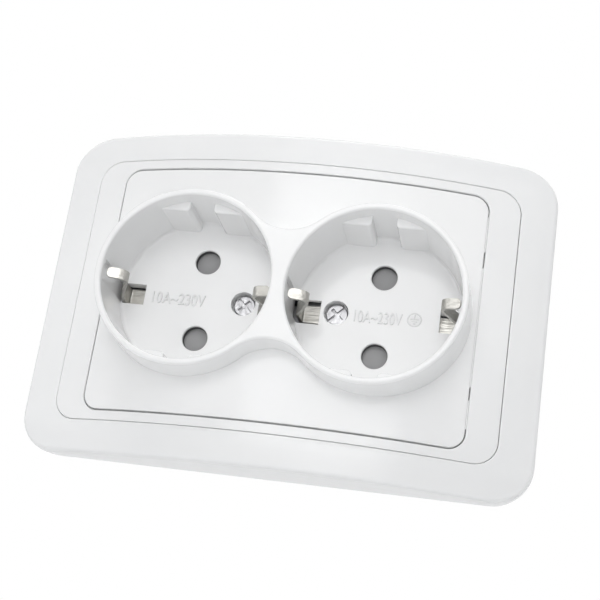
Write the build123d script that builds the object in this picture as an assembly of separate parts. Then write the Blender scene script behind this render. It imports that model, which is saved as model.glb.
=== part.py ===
from build123d import *
import math
import os

# Flush-mounted double wall socket with side earth contacts, for one round wall box.
# Sizes are in millimetres. The model is drawn lying on its back: X to the right, Y up the wall
# and Z out of the wall, with the wall at Z = 0. save() turns it upright.

# Surround
frame_width = 118.0
frame_height = 79.4
frame_corner = 9.2
frame_front_wall = 2.4
frame_skirt_wall = 2.0
skirt_setback = 0.35
frame_edge_round = 1.1
arch_crown = 16.2
arch_edge = 4.45
band_fall = 10.0
band_round = 16.0

# Trim ring and its seams
trim_width = 101.6
trim_height = 64.6
trim_corner = 5.5
trim_side_band = 7.15
trim_top_band = 2.3
trim_wall = 2.4
ledge_wall = 1.9
ledge_clearance = 0.25
cover_ledge = 1.0
seam_gap = 0.1
cover_gap = 0.4
cover_side_gap = 0.25
seat_gap = 0.05
seam_round = 0.25

# Cover plate and collar
cover_corner = 4.0
cover_wall = 2.0
socket_pitch = 42.2
recess_radius = 19.4
collar_wall = 1.5
collar_draft = 1.5
collar_rim = 23.7
collar_skin = 1.6
waist_radius = 10.8
rim_round = 0.6

# Plug recess
recess_depth = 17.65
recess_wall = 1.6
floor_wall = 1.4
pin_spacing = 19.0
floor_round = 0.85
pin_hole = 6.0
pin_hole_round = 0.25
guide_chord = 16.9
guide_groove = 5.6
guide_groove_round = 1.0
guide_drop = 4.4
guide_round = 0.4

# Cover screws
cover_screw_offset = 10.1
cover_screw_head = 5.2
cover_screw_head_height = 1.0
cover_screw_shank = 2.9
cover_screw_length = 10.0
cover_screw_boss_wall = 1.2
cover_screw_seat = 0.5
screw_clearance = 0.3
thread_clearance = 0.05
drive_slot = 0.8
drive_depth = 0.7

# Earth straps with their clips, and the bridge between them
strap_thickness = 0.7
strap_width = 4.2
clip_width = 2.4
clip_slot_width = 5.0
clip_slot_length = 5.6
clip_slot_depth = 0.8
clip_slot_drop = 1.9
clip_slot_lip = 1.2
clip_slot_lip_gap = 0.3
clip_inner_drop = 1.1
clip_inner_slot_drop = 0.8
clip_foot_inset = 0.8
clip_tip_inset = 0.35
clip_tip_round = 1.0
clip_reach = 5.1
clip_drop = 3.4
clip_nose_drop = 1.1
clip_nose_round = 2.2
clip_knee = 1.95
bend_round = 0.8
strap_dip_inner = 7.0
strap_dip_gap = 0.45
bridge_thickness = 0.8
bridge_half_width = 1.9
bridge_thread_wall = 1.0
bridge_thread_depth = 3.0

# Shutters
shutter_half = 4.2
shutter_wall = 1.8
shutter_bar_wall = 1.0
shutter_bar_width = 2.7
shutter_edge = 1.0
shutter_gap = 0.8
shutter_travel_in = 7.0
shutter_travel_back = 5.0
shutter_clearance = 0.5
shutter_lug_clearance = 0.7
shutter_lug_width = 2.4
shutter_lug_depth = 1.85
spring_y = 4.0
spring_width = 2.4
spring_thickness = 0.3
spring_anchor = 4.6
spring_margin = 1.2
spring_gap = 0.3

# Base block
plate_thickness = 1.0
flange_thickness = 1.0
flange_margin = 20.4
flange_height = 34.0
flange_corner = 5.0
base_depth = 13.2
base_side_wall = 2.4
base_end_wall = 3.8
base_round_wall = 0.8
well_web = 1.75
rear_cover_wall = 2.0
fit_gap = 0.3

# Contact strips and terminals
contact_thickness = 0.7
contact_length = 4.6
contact_half_gap = 2.9
contact_pinch = 0.25
contact_flare = 0.2
contact_bar_width = 3.6
contact_clearance = 0.35
pin_passage = 5.6
terminal_x = 5.5
terminal_width = 6.0
terminal_y = 9.2
terminal_reach = 11.5
terminal_leg_y = 7.0
terminal_screw_head = 5.0
terminal_screw_head_height = 1.35
terminal_screw_shank = 2.9
terminal_screw_length = 8.0
saddle_wall = 0.9
saddle_length = 6.6
wire_hole = 2.8
wire_y = 13.2

# Mounting plate, rivets and rear cover screws
mount_margin = 0.5
mount_frame_gap = 1.35
mount_corner = 6.0
box_screw_spacing = 60.0
box_slot_width = 4.2
box_slot_length = 6.0
rivet_x = 34.0
rivet_y = 12.0
rivet_shank = 3.0
rivet_head = 5.0
rivet_head_height = 0.8
rear_screw_x = 13.0
rear_screw_shank = 2.2
rear_screw_head = 4.2
rear_screw_length = 6.0

# Spreading claws
claw_width = 9.0
claw_wall = 1.2
claw_pivot_y = 18.0
claw_pivot_z = -3.5
claw_tab_drop = 6.0
claw_tab_y = 24.4
claw_tip_y = 25.8
claw_tip_drop = 13.5
claw_tooth = 1.6
claw_trunnion = 2.0
claw_barrel_wall = 0.3
claw_ear_wall = 1.0
claw_ear_gap = 0.4
running_gap = 0.05
claw_screw_y = 22.0
claw_screw_shank = 3.0
claw_screw_head = 5.6
claw_screw_head_height = 2.0
claw_screw_length = 17.0
claw_slot_end = 23.9

# How far cuts run past a piece, the smallest corner of an opening, and the tolerance for finding edges
past = 1.0
least_corner = 0.5
near = 0.001

# Levels and places worked out from the sizes above
far = 2 * frame_width
arch_fall = arch_crown - arch_edge
arch_radius = ((frame_width / 2) ** 2 + arch_fall**2) / (2 * arch_fall)
half_pitch = socket_pitch / 2
half_pins = pin_spacing / 2
flange_width = 2 * (half_pitch + flange_margin)
mount_width = flange_width + 2 * mount_margin
mount_height = frame_height - 2 * (skirt_setback + frame_skirt_wall + mount_frame_gap)
cover_open_width = trim_width - 2 * trim_side_band
cover_open_height = trim_height - 2 * trim_top_band
narrow_ledge = (trim_top_band - ledge_clearance) / 2
floor_level = collar_rim - recess_depth
floor_back = floor_level - floor_wall
base_top = plate_thickness + flange_thickness
bridge_top = base_top + seat_gap
bridge_bottom = bridge_top - bridge_thickness
strap_bottom = bridge_top + seat_gap
strap_level = strap_bottom + strap_thickness / 2
strap_top = strap_bottom + strap_thickness
shutter_top = floor_back - shutter_gap
shutter_back = shutter_top - shutter_wall
shutter_bar_back = shutter_top - shutter_bar_wall
shutter_lug_back = shutter_bar_back - shutter_lug_depth
shutter_slope = shutter_travel_in / shutter_travel_back
pocket_floor = shutter_back - shutter_travel_back - shutter_clearance
middle_floor = shutter_lug_back - shutter_travel_back - shutter_lug_clearance
pocket_end = shutter_half + shutter_travel_in + shutter_clearance
anchor_x = pocket_end - spring_margin
dip_outer = shutter_half + strap_dip_gap + strap_thickness / 2
dip_level = middle_floor + seat_gap + strap_thickness / 2
well_top = pocket_floor - well_web
well_half_x = contact_length / 2 + contact_clearance
well_half_y = contact_half_gap + contact_thickness / 2 + contact_clearance
base_half_x = half_pitch + well_half_x + base_end_wall
base_half_y = half_pins + well_half_y + base_side_wall
base_circle = math.hypot(half_pitch + well_half_x, half_pins + well_half_y) + base_round_wall
contact_level = -base_depth + contact_clearance + contact_thickness / 2
tab_level = bridge_top - contact_thickness / 2
cover_screw_x = half_pitch - cover_screw_offset
bridge_end = cover_screw_x + cover_screw_shank / 2 + bridge_thread_wall
cover_screw_boss_back = strap_top + seat_gap
cover_screw_shoulder = cover_screw_boss_back + cover_screw_seat


def turned(radius, low, high, x=0.0, y=0.0):
    """A round bar along Z between two levels."""
    return Pos(x, y, (low + high) / 2) * Cylinder(radius, high - low)


def block(x0, x1, y0, y1, z0, z1):
    """A box between two corners."""
    middle = Pos((x0 + x1) / 2, (y0 + y1) / 2, (z0 + z1) / 2)
    return middle * Box(x1 - x0, y1 - y0, z1 - z0)


def prism(face, low, high):
    """A flat outline drawn out between two levels."""
    return Pos(0, 0, low) * extrude(face, high - low)


def along_y(points, y0, y1):
    """A polygon of X and Z drawn out along Y."""
    outline = Plane.XZ * make_face(Polyline(*points, close=True))
    return Pos(0, y1, 0) * extrude(outline, y1 - y0)


def bent_strip_y(points, radii, thickness, width):
    """Sheet metal bent along a line of X and Z points, with its width along Y about zero."""
    outline = trace(FilletPolyline(*points, radius=radii), thickness)
    return Pos(0, width / 2, 0) * extrude(Plane.XZ * outline, width)


def bent_strip_x(points, radii, thickness, width, x=0.0):
    """Sheet metal bent along a line of Y and Z points, with its width along X about x."""
    outline = trace(FilletPolyline(*points, radius=radii), thickness)
    return Pos(x - width / 2, 0, 0) * extrude(Plane.YZ * outline, width)


def arch(depth):
    """Everything under the arched front, less a skin of the given depth, falling off past the trim ring."""
    top = arch_radius - depth
    flat_end = trim_height / 2
    end = frame_height
    arc = []
    for share in (0.5, 1.0):
        turn = math.radians(band_fall) * share
        arc.append((flat_end + band_round * math.sin(turn), top - band_round * (1 - math.cos(turn))))
    slope_end = (end, arc[1][1] - (end - arc[1][0]) * math.tan(math.radians(band_fall)))
    right = [(flat_end, top), arc[0], arc[1], slope_end]
    left = [(-y, z) for y, z in right]
    lines = [
        Line((-end, 0), left[3]),
        Line(left[3], left[2]),
        ThreePointArc(left[2], left[1], left[0]),
        Line(left[0], right[0]),
        ThreePointArc(right[0], right[1], right[2]),
        Line(right[2], right[3]),
        Line(right[3], (end, 0)),
        Line((end, 0), (-end, 0)),
    ]
    section = Plane.YZ * make_face(lines)
    solid = Rot(0, 180, 0) * revolve(section, Axis.Y)
    return Pos(0, 0, arch_crown - arch_radius) * solid


def arched_slab(width, height, corner, top, bottom):
    """The skin of the arch between two depths, inside a rounded outline."""
    column = prism(RectangleRounded(width, height, corner), 0, arch_crown + past)
    return (column & arch(top)) - arch(bottom)


def column(width, height, corner):
    """A rounded outline drawn out past the front and the back."""
    return prism(RectangleRounded(width, height, corner), -past, arch_crown + past)


def edges_on_outline(part, width, height, corner, level):
    """The edges of a part that run along a rounded outline, above a level."""
    found = []
    for edge in part.edges():
        points = [edge.position_at(t) for t in (0.1, 0.5, 0.9)]
        offsets = []
        for point in points:
            dx = abs(point.X) - (width / 2 - corner)
            dy = abs(point.Y) - (height / 2 - corner)
            reach = math.hypot(max(dx, 0), max(dy, 0)) + min(max(dx, dy), 0)
            offsets.append(abs(reach - corner))
        flat = abs(edge.tangent_at(0.5).Z) < 0.5
        if max(offsets) < near and flat and min(p.Z - level(p.X) for p in points) > 0:
            found.append(edge)
    return found


def half_depth_level(wall):
    """A level within the wall under the arch, as a function of X."""
    low = arch_crown - arch_radius - 0.75 * wall
    return lambda x: low + math.sqrt(arch_radius**2 - x * x)


def ledge(width, height, corner, outward, inward, top, bottom):
    """The shelf under a rounded opening, for the next piece to sit on."""
    outer = arched_slab(width + 2 * outward, height + 2 * outward, corner + outward, top / 2, bottom)
    inner_corner = max(corner - inward, least_corner)
    shelf = outer - column(width - 2 * inward, height - 2 * inward, inner_corner)
    return shelf - (column(width, height, corner) - arch(top))


def two_sided(make):
    """A piece for the right socket and its mirror image for the left."""
    right = make()
    return {"right": right, "left": mirror(right, about=Plane.YZ)}


def save(part, name):
    """Turns a piece upright, front towards -Y, and writes it."""
    export_step(Rot(90, 0, 0) * part, f"parts/{name}.step")


def outer_frame():
    """Arched surround with a skirt to the wall and a shelf for the trim ring."""
    lip = arched_slab(frame_width, frame_height, frame_corner, 0, frame_front_wall)
    lip = lip - column(trim_width, trim_height, trim_corner)
    level = half_depth_level(frame_front_wall)
    outer = edges_on_outline(lip, frame_width, frame_height, frame_corner, level)
    lip = fillet(outer, frame_edge_round)
    inner = edges_on_outline(lip, trim_width, trim_height, trim_corner, level)
    lip = fillet(inner, seam_round)
    skirt_width = frame_width - 2 * skirt_setback
    skirt_height = frame_height - 2 * skirt_setback
    skirt_corner = frame_corner - skirt_setback
    outline = RectangleRounded(skirt_width, skirt_height, skirt_corner)
    inside = column(
        skirt_width - 2 * frame_skirt_wall,
        skirt_height - 2 * frame_skirt_wall,
        skirt_corner - frame_skirt_wall,
    )
    skirt = prism(outline, 0, arch_crown) - inside
    skirt = skirt & arch(frame_front_wall / 2)
    shelf_bottom = trim_wall + ledge_wall
    shelf = ledge(
        trim_width, trim_height, trim_corner, narrow_ledge, narrow_ledge,
        trim_wall + seat_gap, shelf_bottom,
    )
    return lip + skirt + shelf


def trim_ring():
    """Ring between the surround and the cover, with a shelf for the cover."""
    width = trim_width - 2 * seam_gap
    height = trim_height - 2 * seam_gap
    corner = trim_corner - seam_gap
    ring = arched_slab(width, height, corner, 0, trim_wall)
    ring = ring - column(cover_open_width, cover_open_height, cover_corner)
    level = half_depth_level(trim_wall)
    edges = edges_on_outline(ring, width, height, corner, level)
    edges = edges + edges_on_outline(ring, cover_open_width, cover_open_height, cover_corner, level)
    ring = fillet(edges, seam_round)
    shelf = ledge(
        cover_open_width, cover_open_height, cover_corner, narrow_ledge, cover_ledge,
        cover_wall + seat_gap, cover_wall + ledge_wall,
    )
    return ring + shelf


def figure_eight(radius, waist):
    """The outline of two circles joined by a hollow waist on each side."""
    lift = math.sqrt((radius + waist) ** 2 - half_pitch**2)
    share = radius / (radius + waist)
    tx = half_pitch * (1 - share)
    ty = lift * share
    neck = lift - waist
    end = half_pitch + radius
    arcs = [
        ThreePointArc((tx, -ty), (end, 0), (tx, ty)),
        ThreePointArc((tx, ty), (0, neck), (-tx, ty)),
        ThreePointArc((-tx, ty), (-end, 0), (-tx, -ty)),
        ThreePointArc((-tx, -ty), (0, -neck), (tx, -ty)),
    ]
    return make_face(arcs)


def collar():
    """The figure-eight collar, hollow from behind, with a rounded rim."""
    foot = arch_crown - (half_pitch + recess_radius) ** 2 / (2 * arch_radius) - cover_wall
    height = collar_rim - foot
    spread = height * math.tan(math.radians(collar_draft))
    radius = recess_radius + collar_wall + spread
    waist = waist_radius - spread
    outside = Pos(0, 0, foot) * extrude(figure_eight(radius, waist), height, taper=collar_draft)
    hollow = figure_eight(radius - collar_skin, waist + collar_skin)
    hollow_height = height - cover_wall
    hollow = Pos(0, 0, foot) * extrude(hollow, hollow_height, taper=collar_draft)
    body = outside - hollow
    cup_radius = recess_radius + recess_wall
    for x in (-half_pitch, half_pitch):
        cup = turned(cup_radius, floor_back, collar_rim - cover_wall / 2, x)
        body = body + (cup & prism(figure_eight(radius - spread, waist_radius), 0, collar_rim))
    for x in (-half_pitch, half_pitch):
        recess = turned(recess_radius, floor_level, collar_rim + past, x)
        body = body - fillet(recess.edges().group_by(Axis.Z)[0], floor_round)
    rim = [e for e in body.edges() if abs(e.position_at(0.5).Z - collar_rim) < near]
    rim = [e for e in rim if abs(e.position_at(0.1).Z - collar_rim) < near]
    return fillet(rim, rim_round)


def guide_blocks():
    """The two grooved blocks at top and bottom of the right recess."""
    top = collar_rim - guide_drop
    disc = turned(recess_radius + recess_wall / 2, floor_level - floor_wall / 2, top)
    far_side = recess_radius + recess_wall
    groove = guide_groove / 2
    blocks = []
    for side in (1, -1):
        segment = disc & block(-far_side, far_side, guide_chord, far_side, 0, collar_rim)
        segment = segment - block(-groove, groove, 0, far_side, 0, collar_rim)
        corners = []
        for edge in segment.edges().filter_by(Axis.Z):
            middle = edge.position_at(0.5)
            if abs(middle.Y - guide_chord) < near and abs(abs(middle.X) - groove) < near:
                corners.append(edge)
        segment = fillet(corners, guide_groove_round)
        upper = []
        for edge in segment.edges().group_by(Axis.Z)[-1]:
            middle = edge.position_at(0.5)
            if math.hypot(middle.X, middle.Y) < recess_radius:
                upper.append(edge)
        segment = fillet(upper, guide_round)
        blocks.append(segment if side == 1 else mirror(segment, about=Plane.XZ))
    return Pos(half_pitch, 0, 0) * (blocks[0] + blocks[1])


def cover_cuts():
    """What is cut out of the cover for the right socket."""
    cuts = []
    for y in (-half_pins, half_pins):
        cuts.append(turned(pin_hole / 2, floor_back - past, floor_level + past, half_pitch, y))
    slot = clip_slot_width / 2
    wall_end = recess_radius + clip_slot_depth
    slot_start = recess_radius - clip_slot_length
    slot_top = collar_rim - clip_slot_drop
    for side, low in ((1, -slot), (-1, -slot - clip_inner_slot_drop)):
        xs = sorted((half_pitch + side * slot_start, half_pitch + side * wall_end))
        cuts.append(block(xs[0], xs[1], low, slot, base_top, floor_level + floor_round))
        xs = sorted((half_pitch + side * (recess_radius - past), half_pitch + side * wall_end))
        cuts.append(block(xs[0], xs[1], low, slot, floor_level, slot_top))
    head = cover_screw_head / 2 + screw_clearance
    cuts.append(turned(head, cover_screw_shoulder, floor_level + past, cover_screw_x))
    shank = cover_screw_shank / 2 + screw_clearance
    cuts.append(turned(shank, cover_screw_boss_back - past, floor_level + past, cover_screw_x))
    return cuts


def slot_lip():
    """The lip under the outer slot of the right recess, down to the earth strap."""
    start = half_pitch + recess_radius - clip_slot_length - clip_slot_lip
    end = half_pitch + recess_radius + recess_wall
    side = clip_slot_width / 2 + clip_slot_lip
    return block(start, end, -side, side, strap_top + clip_slot_lip_gap, floor_level - floor_wall / 2)


def socket_cover():
    """Cover plate with two plug recesses in one collar."""
    width = cover_open_width - 2 * cover_side_gap
    height = cover_open_height - 2 * cover_gap
    corner = cover_corner - cover_gap
    plate = arched_slab(width, height, corner, 0, cover_wall)
    level = half_depth_level(cover_wall)
    plate = fillet(edges_on_outline(plate, width, height, corner, level), seam_round)
    for x in (-half_pitch, half_pitch):
        plate = plate - turned(recess_radius + recess_wall / 2, 0, collar_rim, x)
    body = plate + collar()
    boss = cover_screw_head / 2 + screw_clearance + cover_screw_boss_wall
    for side in (1, -1):
        tower = turned(boss, cover_screw_boss_back, floor_level - floor_wall / 2, side * cover_screw_x)
        body = body + tower
    for addition in (guide_blocks(), slot_lip()):
        body = body + addition + mirror(addition, about=Plane.YZ)
    for cut in cover_cuts():
        body = body - cut - mirror(cut, about=Plane.YZ)
    mouths = []
    for edge in body.edges().filter_by(GeomType.CIRCLE):
        on_floor = abs(edge.arc_center.Z - floor_level) < near
        if on_floor and abs(edge.radius - pin_hole / 2) < near:
            mouths.append(edge)
    return fillet(mouths, pin_hole_round)


def machine_screw(head, head_height, shank, length, crossed):
    """A pan-head screw with its seat at zero, head up, with a slot or a slotted cross."""
    top = turned(head / 2, 0, head_height)
    top = fillet(top.edges().group_by(Axis.Z)[-1], head_height / 3)
    screw = top + turned(shank / 2, -length, head_height / 4)
    screw = chamfer(screw.edges().group_by(Axis.Z)[0], shank / 8)
    slot = drive_slot / 2
    low = head_height - drive_depth
    screw = screw - block(-head, head, -slot, slot, low, head_height + past)
    if crossed:
        screw = screw - block(-slot, slot, -head / 3, head / 3, low, head_height + past)
    return screw


def cover_screws():
    """The two cover screws, with their slots turned opposite ways."""
    seat = cover_screw_shoulder + seat_gap
    screws = []
    for side in (1, -1):
        screw = machine_screw(
            cover_screw_head, cover_screw_head_height, cover_screw_shank, cover_screw_length, True,
        )
        screws.append(Pos(side * cover_screw_x, 0, seat) * Rot(0, 0, side * 45) * screw)
    return Compound(screws)


def clip_width_limits(drop):
    """Room for one end of the strap: wide under the floor and narrow at the clip, which may sit lower."""
    wide = strap_width / 2
    narrow = clip_width / 2
    shoulder = floor_level + clip_knee + wide
    sides = [
        (-wide, -base_depth),
        (-wide, floor_level),
        (-narrow - drop, shoulder),
        (-narrow - drop, collar_rim),
        (narrow - drop, collar_rim),
        (narrow - drop, shoulder),
        (wide, floor_level),
        (wide, -base_depth),
    ]
    return extrude(Plane.YZ * make_face(Polyline(*sides, close=True)), far)


def earth_strap():
    """The bent strap of the right socket, with a sprung clip at each end."""
    foot = recess_radius - clip_foot_inset
    nose = recess_radius - clip_reach
    top = collar_rim - clip_drop
    knee = floor_level + clip_knee
    half_clip = [
        (recess_radius - clip_tip_inset, top),
        (nose, top - clip_nose_drop),
        (foot, knee),
        (foot, strap_level),
    ]
    points = list(half_clip)
    points.append((dip_outer, strap_level))
    points.append((dip_outer, dip_level))
    points.append((-strap_dip_inner, dip_level))
    points.append((-strap_dip_inner, strap_level))
    points.extend((-x, z) for x, z in reversed(half_clip))
    clip_radii = [clip_nose_round, bend_round, bend_round]
    radii = clip_radii + [bend_round] * 4 + clip_radii[::-1]
    strap = bent_strip_y(points, radii, strap_thickness, strap_width + 2 * clip_inner_drop)
    strap = strap & (clip_width_limits(0) + Pos(-far, 0, 0) * clip_width_limits(clip_inner_drop))
    tip_corners = []
    for edge in strap.edges():
        middle = edge.position_at(0.5)
        at_tip = abs(middle.X) > foot and middle.Z > top - strap_thickness
        if at_tip and abs(edge.tangent_at(0.5).Y) < 0.5 and edge.length < 2 * strap_thickness:
            tip_corners.append(edge)
    strap = fillet(tip_corners, clip_tip_round)
    hole = turned(cover_screw_shank / 2 + screw_clearance, 0, strap_top + past, -cover_screw_offset)
    return Pos(half_pitch, 0, 0) * (strap - hole)


def earth_bridge():
    """The bar that joins both earth straps, with threads for the cover screws and a terminal tab."""
    bar = block(
        -bridge_end, bridge_end, -bridge_half_width, bridge_half_width, bridge_bottom, bridge_top,
    )
    tab_start = terminal_x - terminal_width / 2
    tab_end = terminal_x + terminal_width / 2
    bar = bar + block(tab_start, tab_end, 0, terminal_reach, bridge_bottom, bridge_top)
    thread = cover_screw_shank / 2 + thread_clearance
    for x in (-cover_screw_x, cover_screw_x):
        bar = bar + turned(thread + bridge_thread_wall, bridge_bottom - bridge_thread_depth, bridge_top, x)
    for x in (-cover_screw_x, cover_screw_x):
        bar = bar - turned(thread, -base_depth, base_top + past, x)
    terminal = terminal_screw_shank / 2 + thread_clearance
    return bar - turned(terminal, -base_depth, base_top + past, terminal_x, terminal_y)


def shutter():
    """The right shutter: two shoes behind the pin holes, joined by a bar, with a spring lug."""
    edge_in = shutter_edge * shutter_slope
    shoe_outline = [
        (-shutter_half, shutter_top),
        (shutter_half, shutter_top),
        (shutter_half, shutter_back + shutter_edge),
        (shutter_half - edge_in, shutter_back),
        (-shutter_half, shutter_back),
    ]
    shoe = along_y(shoe_outline, half_pins - shutter_half, half_pins + shutter_half)
    bar_end = half_pins - shutter_half
    bar_start = shutter_half - shutter_bar_width
    bar = block(bar_start, shutter_half, -bar_end, bar_end, shutter_bar_back, shutter_top)
    lug_y = (spring_y - shutter_lug_width / 2, spring_y + shutter_lug_width / 2)
    lug_start = bar_start - shutter_lug_width / 4
    lug = block(lug_start, shutter_half, lug_y[0], lug_y[1], shutter_lug_back, shutter_top)
    body = shoe + mirror(shoe, about=Plane.XZ) + bar + lug
    return Pos(half_pitch, 0, 0) * body


def shutter_spring():
    """The leaf spring that pushes the right shutter back up its ramp."""
    touch = shutter_half - shutter_bar_width - shutter_lug_width / 4 - spring_gap - spring_thickness
    bend = middle_floor + spring_margin
    points = [
        (-anchor_x, middle_floor - spring_anchor + spring_gap),
        (-anchor_x, bend),
        (touch - spring_thickness, shutter_lug_back + spring_gap),
        (touch, shutter_bar_back - spring_gap),
    ]
    leaf = bent_strip_y(points, [bend_round, bend_round / 2], spring_thickness, spring_width)
    return Pos(half_pitch, spring_y, 0) * leaf


def base_outline(grow):
    """The part of the base that goes into the wall box."""
    box_outline = Rectangle(2 * (base_half_x + grow), 2 * (base_half_y + grow))
    return box_outline & Circle(base_circle + grow)


def shutter_pockets():
    """The ramped pockets that the right shutter sinks into, and the strap's channel."""
    above = base_top + past
    pockets = []
    zones = (
        (half_pins - shutter_half - shutter_clearance, half_pins + shutter_half + shutter_clearance,
         shutter_back + shutter_edge, pocket_floor),
        (0, half_pins - shutter_half, shutter_lug_back, middle_floor),
    )
    for inner_y, outer_y, ramp_start, floor in zones:
        def ramp(level, start=ramp_start):
            return shutter_half + shutter_clearance + (level - start) * shutter_slope
        outline = [(-pocket_end, above), (-pocket_end, floor), (ramp(floor), floor), (ramp(above), above)]
        side = along_y(outline, inner_y, outer_y)
        pockets.append(side)
        pockets.append(mirror(side, about=Plane.XZ))
    channel = strap_width / 2 + fit_gap
    dip_start = -strap_dip_inner - strap_thickness / 2 - fit_gap
    dip_end = dip_outer + strap_thickness / 2 + fit_gap
    pockets.append(block(dip_start, dip_end, -channel, channel, middle_floor, above))
    slot_x = (-anchor_x - spring_thickness, -anchor_x + spring_thickness)
    slot_y = (spring_y - spring_width / 2 - fit_gap / 2, spring_y + spring_width / 2 + fit_gap / 2)
    slot_low = middle_floor - spring_anchor
    pockets.append(block(slot_x[0], slot_x[1], slot_y[0], slot_y[1], slot_low, middle_floor + past))
    return [Pos(half_pitch, 0, 0) * p for p in pockets]


def terminal_cuts(x, side, with_leg):
    """The seat of a terminal tab, its screw hole, its wire hole and the slot for its leg."""
    half = terminal_width / 2 + fit_gap
    low = terminal_leg_y - contact_thickness / 2 - fit_gap
    ys = sorted((side * low, side * (base_half_y + past)))
    cuts = [block(x - half, x + half, ys[0], ys[1], bridge_bottom - seat_gap, base_top + past)]
    shank = terminal_screw_shank / 2 + screw_clearance
    depth = terminal_screw_length + screw_clearance
    cuts.append(turned(shank, bridge_top - depth, base_top + past, x, side * terminal_y))
    cuts.append(turned(wire_hole / 2, -base_depth - past, base_top + past, x, side * wire_y))
    if with_leg:
        high = terminal_leg_y + contact_thickness / 2 + fit_gap
        ys = sorted((side * low, side * high))
        cuts.append(block(x - half, x + half, ys[0], ys[1], -base_depth - past, base_top + past))
    return cuts


def base_block():
    """Moulded block that carries the contacts, with shutter pockets in front and wells behind."""
    body = prism(base_outline(0), -base_depth, plate_thickness)
    flange = RectangleRounded(flange_width, flange_height, flange_corner)
    body = body + prism(flange, plate_thickness, base_top)
    cuts = []
    for pocket in shutter_pockets():
        cuts.append(pocket)
        cuts.append(mirror(pocket, about=Plane.YZ))
    end = bridge_end + fit_gap
    groove = bridge_half_width + fit_gap
    low = bridge_bottom - seat_gap
    cuts.append(block(-end, end, -groove, groove, low, base_top + past))
    tab = terminal_width / 2 + fit_gap
    cuts.append(block(terminal_x - tab, terminal_x + tab, 0, base_half_y, low, base_top + past))
    boss = cover_screw_shank / 2 + bridge_thread_wall + fit_gap
    boss_low = bridge_bottom - bridge_thread_depth - fit_gap
    shank_low = cover_screw_shoulder - cover_screw_length - screw_clearance
    bar = contact_bar_width / 2 + contact_clearance
    bar_top = contact_level + contact_thickness / 2 + contact_clearance
    for x in (-cover_screw_x, cover_screw_x):
        cuts.append(turned(boss, boss_low, base_top + past, x))
        cuts.append(turned(cover_screw_shank / 2 + screw_clearance, shank_low, base_top, x))
    for side in (1, -1):
        y = side * half_pins
        cuts.append(block(-half_pitch, half_pitch, y - bar, y + bar, -base_depth - past, bar_top))
        for x in (-half_pitch, half_pitch):
            well = block(
                x - well_half_x, x + well_half_x, y - well_half_y, y + well_half_y,
                -base_depth - past, well_top,
            )
            cuts.append(well)
            cuts.append(turned(pin_passage / 2, well_top - past, pocket_floor + past, x, y))
    cuts.extend(terminal_cuts(-terminal_x, 1, True))
    cuts.extend(terminal_cuts(-terminal_x, -1, True))
    cuts.extend(terminal_cuts(terminal_x, 1, False))
    for x in (-rivet_x, rivet_x):
        for y in (-rivet_y, rivet_y):
            cuts.append(turned(rivet_shank / 2 + seat_gap, 0, base_top + past, x, y))
    rear_thread = rear_screw_shank / 2 + thread_clearance
    for x in (-rear_screw_x, rear_screw_x):
        cuts.append(turned(rear_thread, -base_depth - past, -base_depth + rear_screw_length, x))
    for cut in cuts:
        body = body - cut
    return body


def rear_cover():
    """Plate that closes the contact wells, with wire entries."""
    low = -base_depth - rear_cover_wall
    step = -base_depth - rear_cover_wall / 2
    plate = prism(base_outline(0), step, -base_depth) + prism(base_outline(-fit_gap), low, step)
    for x, y in ((-terminal_x, wire_y), (-terminal_x, -wire_y), (terminal_x, wire_y)):
        plate = plate - turned(wire_hole / 2, low - past, 0, x, y)
        funnel = Cone(wire_hole, wire_hole / 2, wire_hole / 2)
        plate = plate - Pos(x, y, low + wire_hole / 4) * funnel
    for x in (-rear_screw_x, rear_screw_x):
        plate = plate - turned(rear_screw_shank / 2 + screw_clearance, low - past, 0, x)
    return plate


def contact_strip():
    """The upper contact strip: a sprung fork behind each upper pin hole, a bar and a terminal tab."""
    half = contact_half_gap
    free = well_top - contact_clearance
    bend = free - (free - contact_level) / 3
    low = bend - (free - contact_level) / 3
    one_side = [
        (half + contact_flare, free),
        (half - contact_pinch, bend),
        (half, low),
        (half, contact_level),
    ]
    points = one_side + [(-y, z) for y, z in reversed(one_side)]
    points = [(y + half_pins, z) for y, z in points]
    body = None
    for x in (-half_pitch, half_pitch):
        fork = bent_strip_x(points, [bend_round] * 6, contact_thickness, contact_length, x)
        body = fork if body is None else body + fork
    thick = contact_thickness / 2
    bar = contact_bar_width / 2
    body = body + block(
        -half_pitch, half_pitch, half_pins - bar, half_pins + bar,
        contact_level - thick, contact_level + thick,
    )
    leg = [
        (half_pins, contact_level),
        (terminal_leg_y, contact_level),
        (terminal_leg_y, tab_level),
        (terminal_reach, tab_level),
    ]
    body = body + bent_strip_x(leg, [bend_round] * 2, contact_thickness, terminal_width, -terminal_x)
    thread = terminal_screw_shank / 2 + thread_clearance
    return body - turned(thread, -base_depth / 2, base_top + past, -terminal_x, terminal_y)


terminals = ((-terminal_x, 1), (-terminal_x, -1), (terminal_x, 1))


def terminal_saddles():
    """The clamping plate of each terminal, bent down at its sides over the wire."""
    low = bridge_top + seat_gap
    saddles = []
    for x, side in terminals:
        half = terminal_width / 2
        inner = side * (terminal_y - saddle_length / 3)
        outer = side * (terminal_y + 2 * saddle_length / 3)
        ys = sorted((inner, outer))
        plate = block(x - half, x + half, ys[0], ys[1], low, low + saddle_wall)
        plate = fillet(plate.edges().filter_by(Axis.Z), saddle_wall)
        bore = terminal_screw_shank / 2 + screw_clearance
        hole = turned(bore, low - past, low + saddle_wall + past, x, side * terminal_y)
        saddles.append(plate - hole)
    return Compound(saddles)


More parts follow.
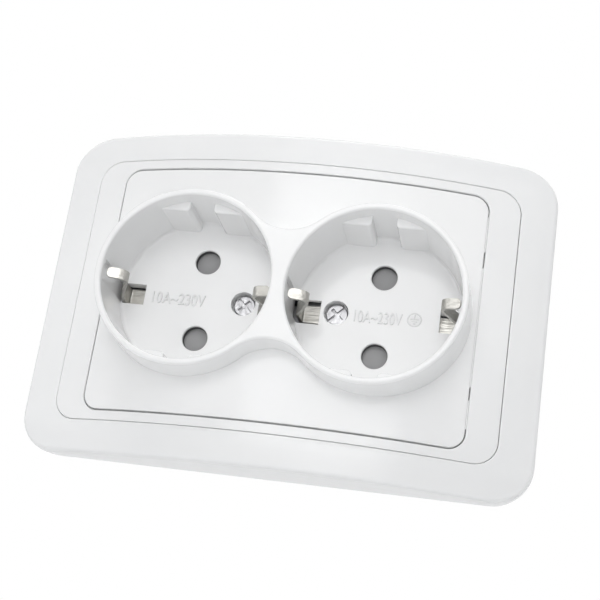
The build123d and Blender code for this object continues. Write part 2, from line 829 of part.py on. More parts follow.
def terminal_screws():
    """One slotted screw for each terminal."""
    seat = bridge_top + saddle_wall + 2 * seat_gap
    screws = []
    for x, side in terminals:
        screw = machine_screw(
            terminal_screw_head, terminal_screw_head_height, terminal_screw_shank,
            terminal_screw_length, False,
        )
        screws.append(Pos(x, side * terminal_y, seat) * screw)
    return Compound(screws)


def mounting_plate():
    """Steel plate on the wall, with ears for the claws and slots for the box screws."""
    outline = RectangleRounded(mount_width, mount_height, mount_corner)
    plate = prism(outline, 0, plate_thickness) - prism(base_outline(fit_gap), -past, plate_thickness + past)
    ear_in = claw_width / 2 + claw_ear_gap
    ear_out = ear_in + claw_ear_wall
    ear_round = claw_trunnion / 2 + running_gap + claw_ear_wall
    straight = box_slot_length / 2 - box_slot_width / 2
    for side in (1, -1):
        y = side * claw_pivot_y
        for x0, x1 in ((ear_in, ear_out), (-ear_out, -ear_in)):
            ear = block(x0, x1, y - ear_round, y + ear_round, claw_pivot_z, plate_thickness / 2)
            eye = Pos((x0 + x1) / 2, y, claw_pivot_z) * Rot(0, 90, 0)
            ear = ear + eye * Cylinder(ear_round, claw_ear_wall)
            plate = plate + (ear - eye * Cylinder(claw_trunnion / 2 + running_gap, far))
        hole = claw_screw_shank / 2 + running_gap
        plate = plate - turned(hole, -past, plate_thickness + past, 0, side * claw_screw_y)
        slot_y = side * box_screw_spacing / 2
        slot_half = box_slot_width / 2
        for shift in (-straight, straight):
            plate = plate - turned(slot_half, -past, plate_thickness + past, 0, slot_y + shift)
        plate = plate - block(
            -slot_half, slot_half, slot_y - straight, slot_y + straight, -past, plate_thickness + past,
        )
    for x in (-rivet_x, rivet_x):
        for y in (-rivet_y, rivet_y):
            plate = plate - turned(rivet_shank / 2 + seat_gap, -past, plate_thickness + past, x, y)
    return plate


def base_rivets():
    """Rivets through the flange of the base into the mounting plate."""
    rivets = []
    for x in (-rivet_x, rivet_x):
        for y in (-rivet_y, rivet_y):
            low = base_top + seat_gap
            head = turned(rivet_head / 2, low, low + rivet_head_height, x, y)
            head = fillet(head.edges().group_by(Axis.Z)[-1], rivet_head_height / 2)
            rivets.append(head + turned(rivet_shank / 2, 0, low + rivet_head_height / 4, x, y))
    return Compound(rivets)


def rear_screws():
    """Screws that hold the rear cover on the base block."""
    screws = []
    for x in (-rear_screw_x, rear_screw_x):
        screw = machine_screw(
            rear_screw_head, rear_cover_wall / 2, rear_screw_shank,
            rear_screw_length + rear_cover_wall - screw_clearance, False,
        )
        seat = Pos(x, 0, -base_depth - rear_cover_wall - seat_gap)
        screws.append(seat * Rot(180, 0, 0) * screw)
    return Compound(screws)


def claw():
    """The upper claw: a forked steel plate that swings on two trunnions, with a toothed tip."""
    tab_z = claw_pivot_z - claw_tab_drop
    tip_z = claw_pivot_z - claw_tip_drop
    points = [
        (claw_pivot_y, claw_pivot_z),
        (claw_pivot_y, tab_z),
        (claw_tab_y, tab_z),
        (claw_tip_y, tip_z),
        (claw_tip_y + claw_tooth, tip_z - claw_tooth / 2),
    ]
    plate = bent_strip_x(points, [claw_wall, claw_wall, claw_wall / 2], claw_wall, claw_width)
    slot = claw_screw_shank / 2 + screw_clearance
    low = tab_z - claw_wall
    plate = plate - block(-slot, slot, claw_pivot_y - 2 * claw_wall, claw_slot_end, low, 0)
    pitch = claw_width / 3
    for index in range(3):
        x = pitch * (index - 1)
        notch = Pos(x + pitch / 2, claw_tip_y + claw_tooth, tip_z) * Rot(0, 0, 45)
        plate = plate - notch * Box(pitch / 2, pitch / 2, 4 * claw_tooth)
    turn = Pos(0, claw_pivot_y, claw_pivot_z) * Rot(0, 90, 0)
    barrel = turn * Cylinder(claw_trunnion / 2 + claw_barrel_wall, claw_width)
    barrel = barrel - block(-slot, slot, 0, claw_slot_end, low, 0)
    length = claw_width + 2 * (claw_ear_gap + claw_ear_wall)
    trunnions = turn * Cylinder(claw_trunnion / 2, length) - block(-slot, slot, 0, claw_slot_end, low, 0)
    return plate + barrel + trunnions


def claw_screw():
    """The screw that draws the upper claw forward."""
    screw = machine_screw(
        claw_screw_head, claw_screw_head_height, claw_screw_shank, claw_screw_length, True,
    )
    return Pos(0, claw_screw_y, plate_thickness + seat_gap) * screw


os.makedirs("parts", exist_ok=True)
save(outer_frame(), "outer_frame")
save(trim_ring(), "trim_ring")
save(socket_cover(), "socket_cover")
save(cover_screws(), "cover_screws")
for name, make in (
    ("earth_strap", earth_strap), ("shutter", shutter), ("shutter_spring", shutter_spring),
):
    for side, piece in two_sided(make).items():
        save(piece, f"{name}_{side}")
save(earth_bridge(), "earth_bridge")
save(base_block(), "base_block")
save(rear_cover(), "rear_cover")
upper_strip = contact_strip()
save(upper_strip, "line_contact_strip")
save(mirror(upper_strip, about=Plane.XZ), "neutral_contact_strip")
save(terminal_saddles(), "terminal_saddles")
save(terminal_screws(), "terminal_screws")
save(mounting_plate(), "mounting_plate")
save(base_rivets(), "base_rivets")
save(rear_screws(), "rear_screws")
upper_claw = claw()
save(upper_claw, "claw_top")
save(mirror(upper_claw, about=Plane.XZ), "claw_bottom")
upper_screw = claw_screw()
save(upper_screw, "claw_screw_top")
save(mirror(upper_screw, about=Plane.XZ), "claw_screw_bottom")
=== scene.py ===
import math

import bmesh
import bpy
from mathutils import Matrix, Vector


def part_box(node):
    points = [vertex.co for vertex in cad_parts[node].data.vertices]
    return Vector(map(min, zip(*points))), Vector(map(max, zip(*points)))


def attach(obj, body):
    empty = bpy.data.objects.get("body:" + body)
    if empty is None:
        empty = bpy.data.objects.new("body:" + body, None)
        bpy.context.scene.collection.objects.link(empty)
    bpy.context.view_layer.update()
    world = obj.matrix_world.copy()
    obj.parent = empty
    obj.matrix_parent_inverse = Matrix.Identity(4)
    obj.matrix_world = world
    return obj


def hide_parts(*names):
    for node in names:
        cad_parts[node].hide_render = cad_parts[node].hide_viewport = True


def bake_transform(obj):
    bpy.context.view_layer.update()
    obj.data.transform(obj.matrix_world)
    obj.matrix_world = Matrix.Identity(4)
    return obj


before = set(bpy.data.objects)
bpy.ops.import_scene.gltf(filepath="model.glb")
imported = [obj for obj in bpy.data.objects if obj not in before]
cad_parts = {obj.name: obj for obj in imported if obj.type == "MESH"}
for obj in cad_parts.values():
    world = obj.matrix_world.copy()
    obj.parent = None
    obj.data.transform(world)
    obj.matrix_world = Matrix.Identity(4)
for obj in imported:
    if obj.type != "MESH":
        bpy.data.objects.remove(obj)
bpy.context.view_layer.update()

# The CAD lies in a frame with X right, Z up and the front towards -Y. Lengths here are in millimetres
# of the wall plane (x, y up the wall, z out of the wall) and mm() turns them into the frame's metres.
MILLIMETRE = 0.001

# Camera, fitted to the photograph: turns in radians, shifts and distances in millimetres
IMAGE_SIDE = 600.0
SENSOR_WIDTH = 36.0
FOCAL_PIXELS = 1323.34
CAMERA_TURN_X = -0.3139
CAMERA_TURN_Y = -0.1912
CAMERA_TURN_Z = -0.1522
CAMERA_SHIFT_X = -1.6316
CAMERA_SHIFT_Y = -3.895
CAMERA_DISTANCE = 312.4692
NEAREST_SEEN = 10.0

# Places on the cover
SOCKET_OFFSET = 21.1
FLOOR_LEVEL = 6.05

# Raised lettering: the left and right end of each rating
LETTER_HEIGHT = 2.8
LETTER_RAISE = 0.36
LETTER_SIZE = 4.2
RATING_TEXT = "10A~230V"
RATING_PLACES = {"left": (-32.9, -20.1), "right": (15.3, 26.4)}
RATING_Y = -0.3

# Earth sign: the stem's ends, and each bar's height and half width, as shares of the ring's radius
EARTH_SIGN_X = 29.2
EARTH_SIGN_RADIUS = 1.55
SIGN_LINE = 0.3
SIGN_LINE_FACETS = 2
SIGN_RING_STEPS = 40
SIGN_STEM = ((0.0, 0.75), (0.0, 0.08))
SIGN_BARS = ((0.08, 0.64), (-0.26, 0.42), (-0.6, 0.2))

# Painted shade: dark sleeves lining the lower part of the pin holes, with a flange behind the floor,
# standing in for the shaded gap between the floor and the shutters
PIN_OFFSET = 9.5
SHADE_SLEEVE_BORE = 2.93
SHADE_SLEEVE_OUTSIDE = 2.99
SHADE_SLEEVE_FLANGE = 3.8
SHADE_SLEEVE_FRONT = 5.3
SHADE_SLEEVE_STEP = 4.62
SHADE_SLEEVE_BACK = 4.15
SHADE_SLEEVE_STEPS = 64

# Painted light: a pale strip that fills the seam at the cover's right edge, standing in for the light that
# shows through the gap there; its runs, with two windows between them where the cover's latches block that
# light
SEAM_LIGHT_LEFT = 43.41
SEAM_LIGHT_RIGHT = 43.64
SEAM_LIGHT_BACK = 9.0
SEAM_LIGHT_FRONT = 9.85
SEAM_LIGHT_RUNS = {"lower": (-25.0, -18.5), "middle": (-15.5, 12.5), "upper": (16.4, 25.0)}

# Leaf springs of the shutters: the length above which an edge is divided so that the leaf can bend, the
# cuts in each such edge, and the distance within which points are welded
LEAF_LONG_EDGE = 1.0
LEAF_CUTS = 8
WELD = 0.001

# Claw screws: the ridge starts a little inside the shank, and its half width is a share of the pitch
CLAW_SCREW_Y = 22.0
CLAW_SCREW_RADIUS = 1.5
THREAD_PITCH = 0.5
THREAD_HEIGHT = 0.12
THREAD_SINK = 0.02
THREAD_HALF_SHARE = 0.4
THREAD_START = -15.4
THREAD_END = -0.4
THREAD_STEPS = 24


def mm(x, y, z):
    """A point of the wall plane in the frame."""
    return Vector((x, -z, y)) * MILLIMETRE


# Materials

# Noise textures: scale per metre and detail
COLOUR_DRIFT = (60.0, 2.0)
GLOSS_MOTTLE = (500.0, 3.0)
ORANGE_PEEL = (1800.0, 2.0)
PLATING_CLOUD = (350.0, 5.0)
ROLLED_GRAIN = (900.0, 3.0)
FLOOR_CLOUD = (8.0, 4.0)
# The range of a noise texture that is spread between two looks
NOISE_LOW = 0.3
NOISE_HIGH = 0.7
# Stretches of the grain: along the frame's X, along its Y, or even
LONG_X = (0.15, 2.0, 2.0)
LONG_Y = (2.0, 0.15, 2.0)
EVEN = (1.0, 1.0, 1.0)

# Plastic: how it bends and mirrors light, how its roughness spreads, and the depth of its orange peel
PLASTIC_IOR = 1.49
PLASTIC_SHINE = 0.4
PLASTIC_SPREAD = 0.015
PEEL_DEPTH = 0.0002
# How much light goes into pale plastic, and how deep
PALE_GLOW = 0.3
NO_GLOW = 0.0
GLOW_DEPTH = 0.8
EVEN_GLOW = (1.0, 1.0, 1.0)

# Metal: how its roughness spreads, and how far its edges are broken
METAL_SPREAD = 0.06
BROKEN_EDGE = 0.1
EDGE_SAMPLES = 6
# Depths of the metals' grain
FINE_GRAIN = 0.0006
SCREW_GRAIN = 0.15
CLIP_GRAIN = 0.3


def new_material(name):
    """A node material, its tree and its shader."""
    material = bpy.data.materials.new(name)
    material.use_nodes = True
    shader = material.node_tree.nodes["Principled BSDF"]
    return material, material.node_tree, shader


def add(tree, kind, **inputs):
    """A node with some of its inputs set."""
    node = tree.nodes.new(kind)
    for key, value in inputs.items():
        node.inputs[key.replace("_", " ")].default_value = value
    return node


def noise(tree, scale, detail, stretch=None):
    """A noise texture in the object's own metres, stretched where a stretch is given."""
    coordinates = tree.nodes.new("ShaderNodeTexCoord")
    texture = add(tree, "ShaderNodeTexNoise", Scale=scale, Detail=detail)
    source = coordinates.outputs["Object"]
    if stretch:
        mapping = add(tree, "ShaderNodeMapping", Scale=stretch)
        tree.links.new(source, mapping.inputs["Vector"])
        source = mapping.outputs["Vector"]
    tree.links.new(source, texture.inputs["Vector"])
    return texture


def two_tone(tree, shader, texture, first, second):
    """Colours a shader between two tones, chosen by a texture."""
    blend = tree.nodes.new("ShaderNodeValToRGB")
    start, end = blend.color_ramp.elements
    start.position = NOISE_LOW
    start.color = (*first, 1.0)
    end.position = NOISE_HIGH
    end.color = (*second, 1.0)
    tree.links.new(texture.outputs["Fac"], blend.inputs["Fac"])
    tree.links.new(blend.outputs["Color"], shader.inputs["Base Color"])


def uneven_gloss(tree, shader, texture, middle, spread):
    """Spreads a shader's roughness about its middle by a texture."""
    roughness = add(
        tree, "ShaderNodeMapRange",
        From_Min=NOISE_LOW, From_Max=NOISE_HIGH, To_Min=middle - spread, To_Max=middle + spread,
    )
    tree.links.new(texture.outputs["Fac"], roughness.inputs["Value"])
    tree.links.new(roughness.outputs["Result"], shader.inputs["Roughness"])


def fine_relief(tree, shader, texture, depth):
    """A fine relief of some depth in millimetres."""
    relief = add(tree, "ShaderNodeBump", Strength=1.0, Distance=depth * MILLIMETRE)
    tree.links.new(texture.outputs["Fac"], relief.inputs["Height"])
    tree.links.new(relief.outputs["Normal"], shader.inputs["Normal"])
    return relief


def moulded_plastic(name, first, second, gloss, glow):
    """Moulded plastic: slow colour drift, a faint orange peel and, in pale plastic, some light within."""
    material, tree, shader = new_material(name)
    two_tone(tree, shader, noise(tree, *COLOUR_DRIFT), first, second)
    uneven_gloss(tree, shader, noise(tree, *GLOSS_MOTTLE), gloss, PLASTIC_SPREAD)
    shader.inputs["IOR"].default_value = PLASTIC_IOR
    shader.inputs["Specular IOR Level"].default_value = PLASTIC_SHINE
    shader.inputs["Subsurface Weight"].default_value = glow
    shader.inputs["Subsurface Radius"].default_value = EVEN_GLOW
    shader.inputs["Subsurface Scale"].default_value = GLOW_DEPTH * MILLIMETRE
    fine_relief(tree, shader, noise(tree, *ORANGE_PEEL), PEEL_DEPTH)
    return material


def plated_metal(name, first, second, gloss, stretch, grain_depth):
    """Plated sheet or wire: rolled grain along one direction, cloudy plating and broken edges."""
    material, tree, shader = new_material(name)
    shader.inputs["Metallic"].default_value = 1.0
    two_tone(tree, shader, noise(tree, *PLATING_CLOUD), first, second)
    grain = noise(tree, *ROLLED_GRAIN, stretch)
    uneven_gloss(tree, shader, grain, gloss, METAL_SPREAD)
    relief = fine_relief(tree, shader, grain, grain_depth)
    soft_edge = add(tree, "ShaderNodeBevel", Radius=BROKEN_EDGE * MILLIMETRE)
    soft_edge.samples = EDGE_SAMPLES
    tree.links.new(soft_edge.outputs["Normal"], relief.inputs["Normal"])
    return material


# Plastics: two tones, roughness and glow
PLASTICS = {
    "surround_plastic": ((0.885, 0.89, 0.895), (0.905, 0.908, 0.91), 0.22, PALE_GLOW),
    "trim_plastic": ((0.89, 0.894, 0.898), (0.91, 0.912, 0.914), 0.2, PALE_GLOW),
    "cover_plastic": ((0.91, 0.913, 0.916), (0.93, 0.932, 0.934), 0.13, PALE_GLOW),
    # The lettering is moulded in the cover's own plastic; its darker tone is painted shade for the shade
    # along the raised letters' edges
    "shaded_letter_plastic": ((0.82, 0.823, 0.826), (0.84, 0.843, 0.846), 0.25, NO_GLOW),
    "shutter_plastic": ((0.35, 0.35, 0.355), (0.37, 0.37, 0.375), 0.5, NO_GLOW),
    "base_plastic": ((0.05, 0.05, 0.053), (0.065, 0.065, 0.068), 0.45, NO_GLOW),
    "rear_plastic": ((0.055, 0.055, 0.058), (0.07, 0.07, 0.073), 0.48, NO_GLOW),
}

# Metals: two tones, roughness, stretch and depth of the grain
METALS = {
    "clip_metal": ((0.45, 0.44, 0.41), (0.59, 0.58, 0.55), 0.38, LONG_X, CLIP_GRAIN),
    "screw_metal": ((0.3, 0.3, 0.31), (0.4, 0.4, 0.41), 0.36, EVEN, SCREW_GRAIN),
    "plate_steel": ((0.58, 0.59, 0.6), (0.7, 0.71, 0.72), 0.38, LONG_X, FINE_GRAIN),
    "claw_steel": ((0.56, 0.57, 0.58), (0.68, 0.69, 0.7), 0.36, LONG_Y, FINE_GRAIN),
    # The earth bridge is grey steel, made darker so that it reads black where it shows in the shaded gap
    # under a slot: partly the steel's own tone, partly painted shade
    "bridge_steel_and_shade": ((0.3, 0.3, 0.31), (0.38, 0.38, 0.39), 0.4, LONG_X, FINE_GRAIN),
    "contact_brass": ((0.75, 0.53, 0.2), (0.84, 0.62, 0.27), 0.3, LONG_X, FINE_GRAIN),
    "spring_steel": ((0.4, 0.4, 0.42), (0.52, 0.52, 0.54), 0.3, LONG_X, FINE_GRAIN),
}

MATERIALS = {}
for name, look in PLASTICS.items():
    MATERIALS[name] = moulded_plastic(name, *look)
for name, look in METALS.items():
    MATERIALS[name] = plated_metal(name, *look)

NODE_MATERIALS = {
    "outer_frame": "surround_plastic",
    "trim_ring": "trim_plastic",
    "socket_cover": "cover_plastic",
    "cover_screws": "screw_metal",
    "earth_strap_left": "clip_metal",
    "earth_strap_right": "clip_metal",
    "earth_bridge": "bridge_steel_and_shade",
    "shutter_left": "shutter_plastic",
    "shutter_right": "shutter_plastic",
    "shutter_spring_left": "spring_steel",
    "shutter_spring_right": "spring_steel",
    "base_block": "base_plastic",
    "rear_cover": "rear_plastic",
    "rear_screws": "screw_metal",
    "line_contact_strip": "contact_brass",
    "neutral_contact_strip": "contact_brass",
    "terminal_saddles": "contact_brass",
    "terminal_screws": "screw_metal",
    "mounting_plate": "plate_steel",
    "base_rivets": "screw_metal",
    "claw_top": "claw_steel",
    "claw_bottom": "claw_steel",
    "claw_screw_top": "screw_metal",
    "claw_screw_bottom": "screw_metal",
}


def coat(mesh_object, material):
    """Gives a piece its one material."""
    mesh_object.data.materials.clear()
    mesh_object.data.materials.append(material)


for node, name in NODE_MATERIALS.items():
    coat(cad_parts[node], MATERIALS[name])


# New pieces

def paint(mesh_object, material):
    """Gives a new piece its material."""
    coat(mesh_object, material)


def place(mesh_object, material, body):
    """Gives a new piece its material, and the body that it rides on."""
    paint(mesh_object, material)
    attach(mesh_object, body)


def add_object(name, data):
    """A new object in the scene."""
    new_object = bpy.data.objects.new(name, data)
    bpy.context.scene.collection.objects.link(new_object)
    return new_object


def add_mesh(name, vertices, faces):
    """A new mesh object from its points and faces."""
    mesh = bpy.data.meshes.new(name)
    mesh.from_pydata(vertices, [], faces)
    mesh.update()
    return add_object(name, mesh)


def to_mesh(curve_object, name):
    """Turns a text or curve object into a plain mesh object of its own."""
    bpy.context.view_layer.update()
    graph = bpy.context.evaluated_depsgraph_get()
    mesh = bpy.data.meshes.new_from_object(curve_object.evaluated_get(graph))
    mesh.transform(curve_object.matrix_world)
    piece = add_object(name, mesh)
    bpy.data.objects.remove(curve_object)
    return piece


# The cover faces -Y: text drawn in its own XY plane is stood up to face the viewer
FACE_FRONT = Matrix.Rotation(math.pi / 2, 4, "X")


def raised_text(name, text, start, end, y, level):
    """Raised lettering on the floor of a recess, narrowed to fit between two places."""
    curve = bpy.data.curves.new(name, "FONT")
    curve.body = text
    curve.size = LETTER_SIZE * MILLIMETRE
    curve.extrude = LETTER_RAISE * MILLIMETRE
    piece = to_mesh(add_object(name, curve), name)
    low = [min(v.co[axis] for v in piece.data.vertices) for axis in range(2)]
    high = [max(v.co[axis] for v in piece.data.vertices) for axis in range(2)]
    middle = Vector(((low[0] + high[0]) / 2, (low[1] + high[1]) / 2, 0))
    narrow = (end - start) * MILLIMETRE / (high[0] - low[0])
    flatten = LETTER_HEIGHT * MILLIMETRE / (high[1] - low[1])
    fit = Matrix.Diagonal((narrow, flatten, 1, 1)) @ Matrix.Translation(-middle)
    piece.data.transform(Matrix.Translation(mm((start + end) / 2, y, level)) @ FACE_FRONT @ fit)
    return piece


def add_line(curve, points):
    """Adds a line through some points of the curve's own plane, given in shares of the sign's radius."""
    radius = EARTH_SIGN_RADIUS * MILLIMETRE
    line = curve.splines.new("POLY")
    line.points.add(len(points) - 1)
    for point, (u, v) in zip(line.points, points):
        point.co = (radius * u, radius * v, 0, 1)
    return line


def earth_sign(name, x, y, level):
    """The raised earth sign: a ring with a stem and three bars of falling width."""
    curve = bpy.data.curves.new(name, "CURVE")
    curve.dimensions = "3D"
    curve.bevel_depth = SIGN_LINE / 2 * MILLIMETRE
    curve.bevel_resolution = SIGN_LINE_FACETS
    add_line(curve, SIGN_STEM)
    for height, half_width in SIGN_BARS:
        add_line(curve, ((-half_width, height), (half_width, height)))
    angles = [2 * math.pi * step / SIGN_RING_STEPS for step in range(SIGN_RING_STEPS)]
    ring = add_line(curve, [(math.cos(angle), math.sin(angle)) for angle in angles])
    ring.use_cyclic_u = True
    sign_curve = add_object(name, curve)
    sign_curve.matrix_world = Matrix.Translation(mm(x, y, level)) @ FACE_FRONT
    return to_mesh(sign_curve, name)


# The ratings and the earth sign take the darker letter tone, painted shade along their edges
for side, (start, end) in RATING_PLACES.items():
    rating = raised_text(f"rating_{side}", RATING_TEXT, start, end, RATING_Y, FLOOR_LEVEL)
    place(rating, MATERIALS["shaded_letter_plastic"], "socket")
sign = earth_sign("earth_sign_right", EARTH_SIGN_X, 0.0, FLOOR_LEVEL)
place(sign, MATERIALS["shaded_letter_plastic"], "socket")


def turned_ring(name, profile, x, y):
    """A ring about the wall's normal, from a closed profile of radius and level."""
    count = len(profile)
    vertices = []
    faces = []
    for step in range(SHADE_SLEEVE_STEPS):
        turn = 2 * math.pi * step / SHADE_SLEEVE_STEPS
        for radius, level in profile:
            vertices.append(mm(x + radius * math.cos(turn), y + radius * math.sin(turn), level))
        first = step * count
        second = (step + 1) % SHADE_SLEEVE_STEPS * count
        for corner in range(count):
            beside = (corner + 1) % count
            faces.append((first + corner, second + corner, second + beside, first + beside))
    return add_mesh(name, vertices, faces)


SHADE_SLEEVE_PROFILE = (
    (SHADE_SLEEVE_BORE, SHADE_SLEEVE_FRONT),
    (SHADE_SLEEVE_BORE, SHADE_SLEEVE_BACK),
    (SHADE_SLEEVE_FLANGE, SHADE_SLEEVE_BACK),
    (SHADE_SLEEVE_FLANGE, SHADE_SLEEVE_STEP),
    (SHADE_SLEEVE_OUTSIDE, SHADE_SLEEVE_STEP),
    (SHADE_SLEEVE_OUTSIDE, SHADE_SLEEVE_FRONT),
)
# Each pin hole gets a dark sleeve in the base's plastic: painted shade for the gap behind the floor
for side, x in (("left", -SOCKET_OFFSET), ("right", SOCKET_OFFSET)):
    for end, y in (("top", PIN_OFFSET), ("bottom", -PIN_OFFSET)):
        shade_sleeve = turned_ring(f"pin_shade_sleeve_{side}_{end}", SHADE_SLEEVE_PROFILE, x, y)
        place(shade_sleeve, MATERIALS["base_plastic"], "socket")


def fine_leaf(name, node):
    """A copy of a leaf spring with its long edges divided, so that it can bend."""
    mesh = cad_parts[node].data.copy()
    shape = bmesh.new()
    shape.from_mesh(mesh)
    bmesh.ops.remove_doubles(shape, verts=shape.verts, dist=WELD * MILLIMETRE)
    long_edges = [edge for edge in shape.edges if edge.calc_length() > LEAF_LONG_EDGE * MILLIMETRE]
    bmesh.ops.subdivide_edges(shape, edges=long_edges, cuts=LEAF_CUTS)
    bmesh.ops.triangulate(shape, faces=shape.faces)
    shape.to_mesh(mesh)
    shape.free()
    return add_object(name, mesh)


# Each leaf spring is replaced by a finely divided copy with its place baked into its points, and the CAD
# piece is hidden
for side, outwards in (("left", -1), ("right", 1)):
    node = f"shutter_spring_{side}"
    low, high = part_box(node)
    leaf = fine_leaf(f"leaf_spring_{side}", node)
    paint(leaf, MATERIALS["spring_steel"])
    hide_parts(node)
    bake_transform(leaf)


def seam_light_run(name, low, high):
    """One straight run of the pale strip in the seam at the cover's right edge, painted light for the
    bright seam.
    """
    outline = ((SEAM_LIGHT_LEFT, low), (SEAM_LIGHT_RIGHT, low), (SEAM_LIGHT_RIGHT, high), (SEAM_LIGHT_LEFT, high))
    corners = [mm(x, y, z) for z in (SEAM_LIGHT_BACK, SEAM_LIGHT_FRONT) for x, y in outline]
    faces = [(3, 2, 1, 0), (4, 5, 6, 7), (0, 1, 5, 4), (1, 2, 6, 5), (2, 3, 7, 6), (3, 0, 4, 7)]
    return add_mesh(name, corners, faces)


# Pale strips of trim plastic in the seam: painted light where light shows through the gap
for run, (low, high) in SEAM_LIGHT_RUNS.items():
    seam_light = seam_light_run(f"seam_light_strip_{run}", low, high)
    place(seam_light, MATERIALS["trim_plastic"], "socket")


def screw_thread(name, y):
    """The thread ridge along a claw screw."""
    turns = (THREAD_END - THREAD_START) / THREAD_PITCH
    count = int(turns * THREAD_STEPS)
    inner = CLAW_SCREW_RADIUS - THREAD_SINK
    outer = CLAW_SCREW_RADIUS + THREAD_HEIGHT
    half = THREAD_HALF_SHARE * THREAD_PITCH
    section = ((inner, -half), (outer, 0.0), (inner, half))
    vertices = []
    for index in range(count + 1):
        turn = 2 * math.pi * index / THREAD_STEPS
        z = THREAD_START + THREAD_PITCH * index / THREAD_STEPS
        for radius, rise in section:
            vertices.append(mm(radius * math.cos(turn), y + radius * math.sin(turn), z + rise))
    faces = []
    for index in range(count):
        first = 3 * index
        second = first + 3
        faces.append((first, first + 1, second + 1, second))
        faces.append((first + 1, first + 2, second + 2, second + 1))
        faces.append((first + 2, first, second, second + 2))
    last = 3 * count
    faces.append((0, 2, 1))
    faces.append((last, last + 1, last + 2))
    return add_mesh(name, vertices, faces)


for side, y in (("top", CLAW_SCREW_Y), ("bottom", -CLAW_SCREW_Y)):
    thread = screw_thread(f"claw_thread_{side}", y)
    place(thread, MATERIALS["screw_metal"], f"claw_screw_{side}")


# Camera

# Its rows are the camera's right, up and back directions in the wall plane
camera_turn = (
    Matrix.Rotation(CAMERA_TURN_Z, 3, "Z")
    @ Matrix.Rotation(CAMERA_TURN_X, 3, "X")
    @ Matrix.Rotation(CAMERA_TURN_Y, 3, "Y")
)
eye = camera_turn.transposed() @ Vector((-CAMERA_SHIFT_X, -CAMERA_SHIFT_Y, CAMERA_DISTANCE))
camera_data = bpy.data.cameras.new("camera")
camera_data.sensor_width = SENSOR_WIDTH
camera_data.lens = FOCAL_PIXELS * SENSOR_WIDTH / IMAGE_SIDE
camera_data.clip_start = NEAREST_SEEN * MILLIMETRE
camera = add_object("camera", camera_data)
axes = [mm(*camera_turn[row]) / MILLIMETRE for row in range(3)]
pose = Matrix.Identity(4)
for column in range(3):
    for row in range(3):
        pose[row][column] = axes[column][row]
pose.translation = mm(*eye)
camera.matrix_world = pose
bpy.context.scene.camera = camera


# Light and surroundings

# Soft lamps: place, side and power. Most of the light comes from above and from the front.
LAMPS = {
    "top": ((0.0, -0.3, 1.0), 0.6, 3.45),
    "high_right": ((0.6, -1.0, 0.7), 0.6, 2.15),
    "high": ((0.0, -1.0, 0.7), 0.6, 1.4),
    "front": ((0.0, -1.0, 0.15), 0.6, 2.85),
    "near_camera": ((0.1, -1.0, -0.12), 0.3, 0.7),
    "left": ((-0.9, -0.5, 0.1), 0.6, 1.25),
}


def area_light(name, lamp_place, side, power):
    """A soft square lamp aimed at the frame's origin."""
    data = bpy.data.lights.new(name, "AREA")
    data.shape = "SQUARE"
    data.size = side
    data.energy = power
    aim = -Vector(lamp_place)
    turned = aim.to_track_quat("-Z", "Y").to_matrix().to_4x4()
    lamp = add_object(name, data)
    lamp.matrix_world = Matrix.Translation(lamp_place) @ turned


for name, lamp_values in LAMPS.items():
    area_light(name, *lamp_values)

# The room's own light by direction: a little from below, fading to none above, where the lamps are,
# and more from behind, where the lamps don't reach
LIGHT_BELOW = 0.3
LIGHT_ABOVE = 0.0
LIGHT_BEHIND = 1.3
FADE_FROM = -0.6
FADE_TO = 0.8
BEHIND_FROM = 0.0
BEHIND_TO = 0.35
ROOM_COLOUR = (0.97, 0.985, 1.0, 1.0)

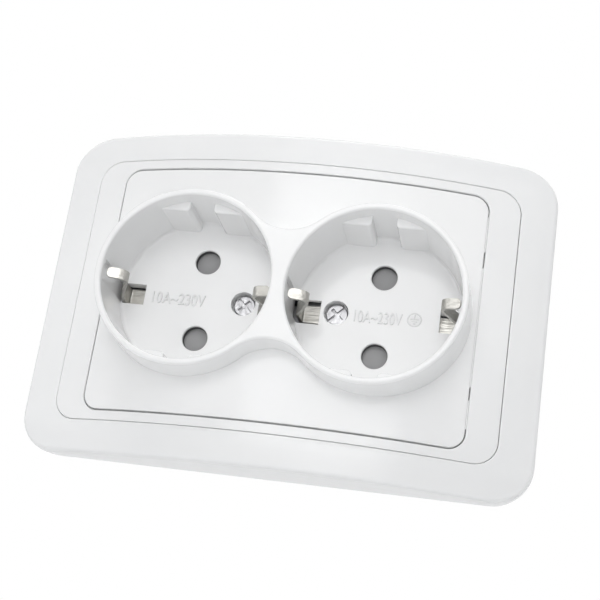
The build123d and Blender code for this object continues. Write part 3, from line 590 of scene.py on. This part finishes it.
world = bpy.data.worlds.new("studio")
world.use_nodes = True
bpy.context.scene.world = world
tree = world.node_tree
direction = tree.nodes.new("ShaderNodeTexCoord")
parts = tree.nodes.new("ShaderNodeSeparateXYZ")
tree.links.new(direction.outputs["Generated"], parts.inputs["Vector"])
upward = add(
    tree, "ShaderNodeMapRange",
    From_Min=FADE_FROM, From_Max=FADE_TO, To_Min=LIGHT_BELOW, To_Max=LIGHT_ABOVE,
)
tree.links.new(parts.outputs["Z"], upward.inputs["Value"])
backward = add(tree, "ShaderNodeMapRange", From_Min=BEHIND_FROM, From_Max=BEHIND_TO, To_Min=0.0, To_Max=1.0)
tree.links.new(parts.outputs["Y"], backward.inputs["Value"])
level = add(tree, "ShaderNodeMix", B=LIGHT_BEHIND)
tree.links.new(backward.outputs["Result"], level.inputs["Factor"])
tree.links.new(upward.outputs["Result"], level.inputs["A"])
room = tree.nodes["Background"]
room.inputs["Color"].default_value = ROOM_COLOUR
tree.links.new(level.outputs["Result"], room.inputs["Strength"])


def show_white(tree, white, other, output):
    """Shows white to the camera and in reflections, while all other light meets the other shader."""
    path = tree.nodes.new("ShaderNodeLightPath")
    seen = path.outputs["Is Camera Ray"]
    for ray in ("Is Glossy Ray", "Is Transmission Ray"):
        either = tree.nodes.new("ShaderNodeMath")
        either.operation = "MAXIMUM"
        tree.links.new(seen, either.inputs[0])
        tree.links.new(path.outputs[ray], either.inputs[1])
        seen = either.outputs["Value"]
    choose = tree.nodes.new("ShaderNodeMixShader")
    tree.links.new(seen, choose.inputs["Fac"])
    tree.links.new(other, choose.inputs[1])
    tree.links.new(white, choose.inputs[2])
    tree.links.new(choose.outputs["Shader"], output.inputs["Surface"])


WHITE = (1.0, 1.0, 1.0, 1.0)
white_room = add(tree, "ShaderNodeBackground", Color=WHITE, Strength=1.0)
show_white(tree, white_room.outputs["Background"], room.outputs["Background"], tree.nodes["World Output"])

# A plain pale floor, in metres
FLOOR_DROP = -0.6
FLOOR_SIDE = 4.0
FLOOR_TONES = ((0.84, 0.84, 0.84), (0.87, 0.87, 0.87))

half = FLOOR_SIDE / 2
floor_outline = ((-half, -half), (half, -half), (half, half), (-half, half))
floor = add_mesh("floor", [(x, y, FLOOR_DROP) for x, y in floor_outline], [(0, 1, 2, 3)])
floor_material, floor_tree, floor_shader = new_material("floor_paint")
two_tone(floor_tree, floor_shader, noise(floor_tree, *FLOOR_CLOUD), *FLOOR_TONES)
white_floor = add(floor_tree, "ShaderNodeEmission", Color=WHITE, Strength=1.0)
floor_output = floor_tree.nodes["Material Output"]
show_white(floor_tree, white_floor.outputs["Emission"], floor_shader.outputs["BSDF"], floor_output)
coat(floor, floor_material)

bpy.context.scene.view_settings.view_transform = "Standard"
